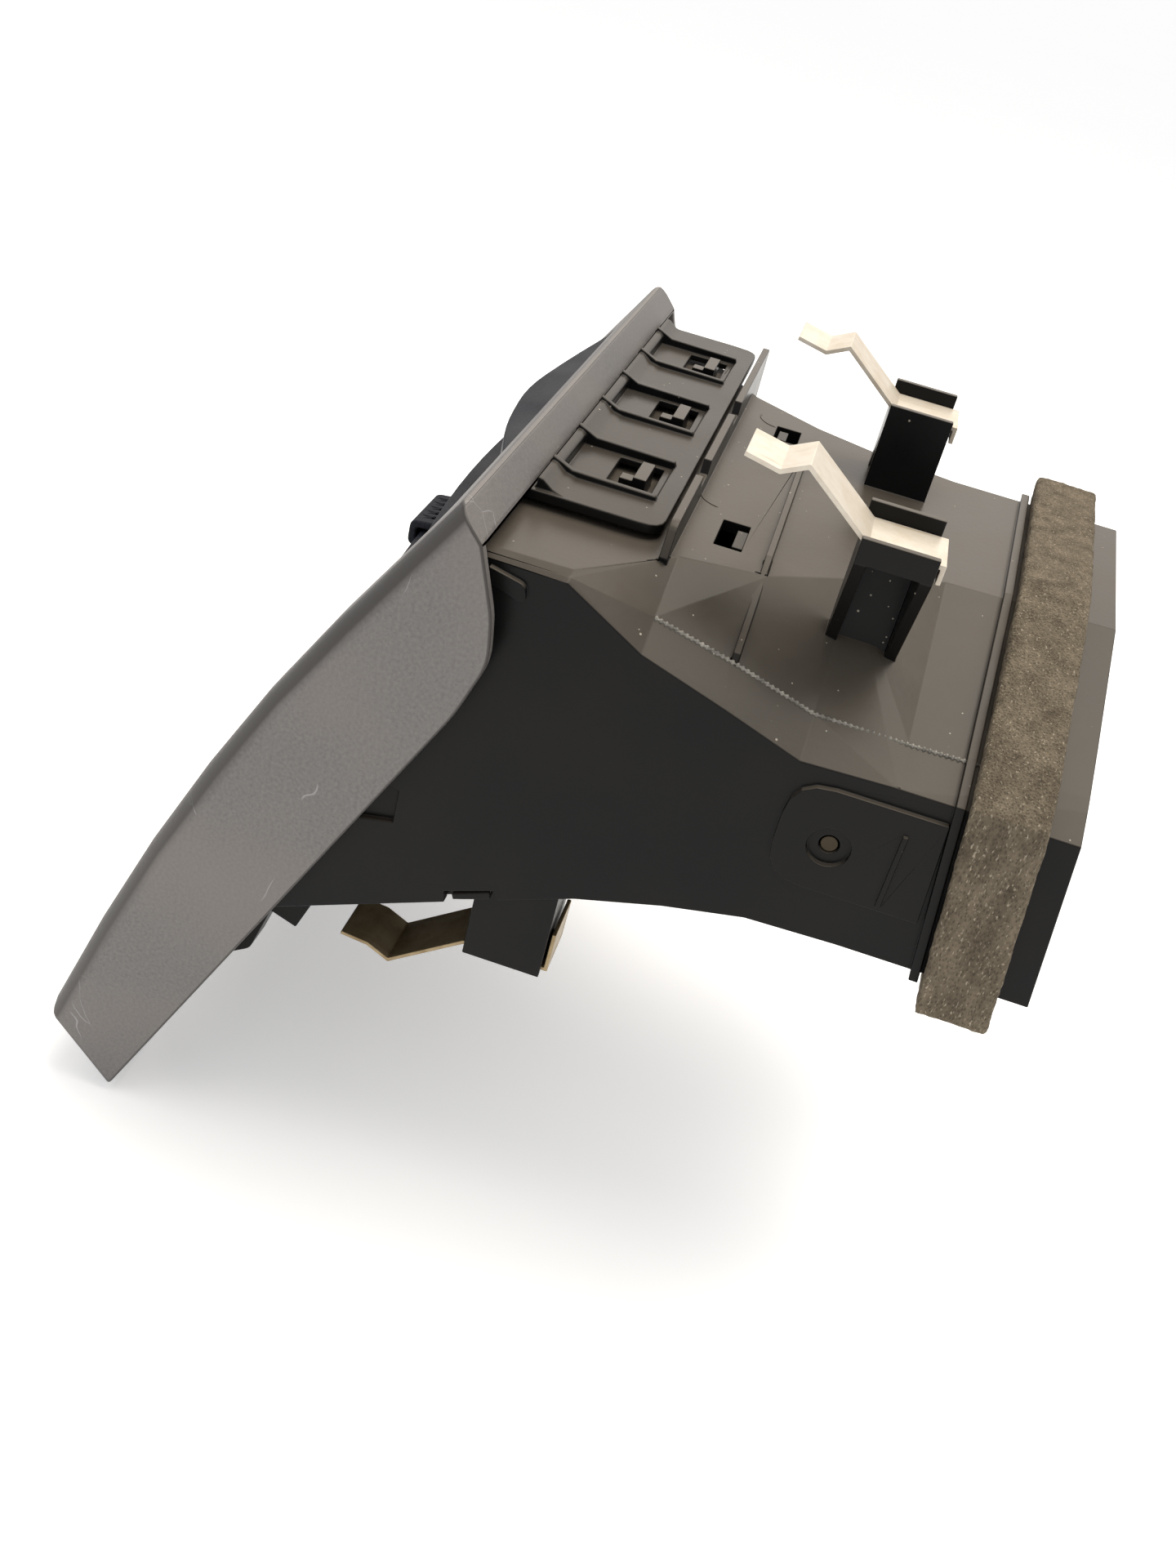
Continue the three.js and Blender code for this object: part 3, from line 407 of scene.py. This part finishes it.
def foam_piece(node, voxel, name):
    """A foam solid with softened corners and an uneven open-cell surface."""
    draft = placed("draft", NODES[node].data.copy())
    weld = draft.modifiers.new("weld", "WELD")
    weld.merge_threshold = WELD_GAP
    remesh = draft.modifiers.new("remesh", "REMESH")
    remesh.mode = "VOXEL"
    remesh.voxel_size = voxel * MM
    solved = draft.evaluated_get(bpy.context.evaluated_depsgraph_get())
    mesh = bpy.data.meshes.new_from_object(solved)
    bpy.data.objects.remove(draft)
    shape = bmesh.new()
    shape.from_mesh(mesh)
    for _ in range(SMOOTHINGS):
        bmesh.ops.smooth_vert(
            shape, verts=shape.verts, factor=0.5, use_axis_x=True, use_axis_y=True, use_axis_z=True
        )
    shape.normal_update()
    for vert in shape.verts:
        swell = noise.noise(vert.co * SWELL[0]) * SWELL[1]
        pit = noise.noise(vert.co * PITS[0]) * PITS[1] + noise.cell(vert.co * CELLS[0]) * CELLS[1]
        vert.co += vert.normal * (swell + pit) * MM
    shape.to_mesh(mesh)
    shape.free()
    mesh.name = name
    mesh.shade_smooth()
    mesh.materials.clear()
    mesh.materials.append(LOOKS["foam"])
    piece = placed(name, mesh)
    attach(piece, NODES[node]["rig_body"])
    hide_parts(node)


for node, (voxel, name) in FOAM.items():
    foam_piece(node, voxel, name)


# ---- moulded details ----
def along(points, step):
    """Points every step millimetres along a broken line, with the direction at each."""
    path = [Vector(p) for p in points]
    found = []
    for a, b in zip(path, path[1:]):
        count = max(1, round((b - a).length / step))
        found += [(a.lerp(b, i / count), (b - a).normalized()) for i in range(count)]
    return found + [(path[-1], (path[-1] - path[-2]).normalized())]


def bead(name, look, points, radius, step, ripple=0.0, pitch=1.0, flat=1.0):
    """A rounded bead along a line on the duct; its radius ripples and its height is scaled by flat."""
    sides = 10
    end_size = 0.35
    shape = bmesh.new()
    rings = []
    travelled = 0.0
    stations = along(points, step)
    for index, (centre, direction) in enumerate(stations):
        ends = end_size if index in (0, len(stations) - 1) else 1.0
        size = (radius + ripple * math.sin(travelled / pitch * math.tau)) * ends
        across = direction.cross(UP).normalized()
        normal = across.cross(direction)
        angles = [math.tau * k / sides for k in range(sides)]
        ring = [centre + (across * math.cos(t) + normal * math.sin(t) * flat) * size for t in angles]
        rings.append([shape.verts.new(p * MM) for p in ring])
        travelled += step
    for a, b in zip(rings, rings[1:]):
        for k in range(sides):
            shape.faces.new((a[k], a[(k + 1) % sides], b[(k + 1) % sides], b[k]))
    shape.faces.new(rings[0][::-1])
    shape.faces.new(rings[-1])
    bmesh.ops.recalc_face_normals(shape, faces=shape.faces)
    mesh = bpy.data.meshes.new(name)
    shape.to_mesh(mesh)
    shape.free()
    mesh.shade_smooth()
    mesh.materials.append(LOOKS[look])
    piece = placed(name, mesh)
    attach(piece, CAD_BODY)


# The fold between the duct's flank and its cut corner, in millimetres
FOLD = [(68.0, -27, -5.2), (67.0, -12, -9.4), (66.5, 2, -13.9), (66.0, 18, -14.3), (66.0, 30.5, -14.0)]
# The bead's light colour is a painted highlight along the fold.
bead("fold_bead", "fold", FOLD, 0.33, 0.19, ripple=0.15, pitch=0.95)

# Raised arcs left by the ejector pins on the duct's top, open towards the inlet
EJECTOR_MARKS = [("ejector_mark_far", -30.1, -19.6), ("ejector_mark_near", 23.0, -23.5)]
EJECTOR_RADIUS = 4.9
# Where each arc starts and how far it turns, in degrees
ARC_START = -104
ARC_TURN = 92
ARC_STEPS = 20
ARC_Z = 0.02
for name, x, y in EJECTOR_MARKS:
    angles = [math.radians(ARC_START + ARC_TURN * k / ARC_STEPS) for k in range(ARC_STEPS + 1)]
    arc = [(x + EJECTOR_RADIUS * math.cos(a), y + EJECTOR_RADIUS * math.sin(a), ARC_Z) for a in angles]
    # The arcs share the duct's plastic with its stronger painted top sheen.
    bead(name, "bright_sheen_plastic", arc, 0.16, 0.6, flat=0.6)


# ---- studio, in metres and watts ----
CAMERA_PLACE = (0.2827, -0.0097, 0.0986)
CAMERA_FORWARD = (-0.839, -0.081, -0.538)
CAMERA_UP = (-0.493, -0.307, 0.814)
LENS_MM = 34.2
SENSOR_MM = 36.0
CLIP_START = 0.01
LIT_CENTRE = Vector((0.0, -0.03, -0.04))
FLOOR_HALF = 40.0
FLOOR_GAP = 0.0005
FLOOR_GLOW = 0.34
SKY_STRENGTH = 0.68
WHITE = rgb(1.0, 1.0, 1.0)


def look_along(obj, forward, up):
    z = -Vector(forward).normalized()
    x = Vector(up).cross(z).normalized()
    y = z.cross(x)
    obj.matrix_world = Matrix.Translation(obj.location) @ Matrix((x, y, z)).transposed().to_4x4()


def camera():
    data = bpy.data.cameras.new("camera")
    data.sensor_width = SENSOR_MM
    data.lens = LENS_MM
    data.clip_start = CLIP_START
    obj = placed("camera", data)
    obj.location = CAMERA_PLACE
    look_along(obj, CAMERA_FORWARD, CAMERA_UP)
    bpy.context.scene.camera = obj


def softbox(name, towards, distance, size, power, tint):
    """A rectangular light that shines on the part from the given direction."""
    data = bpy.data.lights.new(name, "AREA")
    data.shape = "RECTANGLE"
    data.size, data.size_y = size
    data.energy = power
    data.color = tint
    obj = placed(name, data)
    direction = Vector(towards).normalized()
    obj.location = LIT_CENTRE + direction * distance
    look_along(obj, -direction, UP)


def floor():
    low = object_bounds()[0].z - FLOOR_GAP
    mesh = bpy.data.meshes.new("floor")
    signs = [(-1, -1), (1, -1), (1, 1), (-1, 1)]
    corners = [(x * FLOOR_HALF, y * FLOOR_HALF, low) for x, y in signs]
    mesh.from_pydata(corners, [], [(0, 1, 2, 3)])
    obj = placed("floor", mesh)
    g = Graph("pale_floor")
    pale = g.mix(g.noise(3.0), rgb(0.93, 0.93, 0.93), rgb(0.95, 0.95, 0.95))
    g.set(Base_Color=pale, Roughness=0.9, Specular_IOR_Level=0.1)
    g.set(Emission_Color=WHITE, Emission_Strength=FLOOR_GLOW)
    mesh.materials.append(g.material)
    obj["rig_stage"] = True


def sky():
    world = bpy.data.worlds.new("studio")
    world.use_nodes = True
    background = world.node_tree.nodes["Background"]
    background.inputs["Color"].default_value = WHITE
    background.inputs["Strength"].default_value = SKY_STRENGTH
    bpy.context.scene.world = world


camera()
floor()
sky()
softbox("back_softbox", (-0.84, -0.08, 0.54), 0.9, (0.75, 0.55), 1.7, (1.0, 0.90, 0.79))
softbox("top_softbox", (-0.12, 0.2, 1.0), 0.8, (0.6, 0.6), 6.5, (1.0, 0.94, 0.84))
bpy.context.scene.view_settings.view_transform = "Standard"
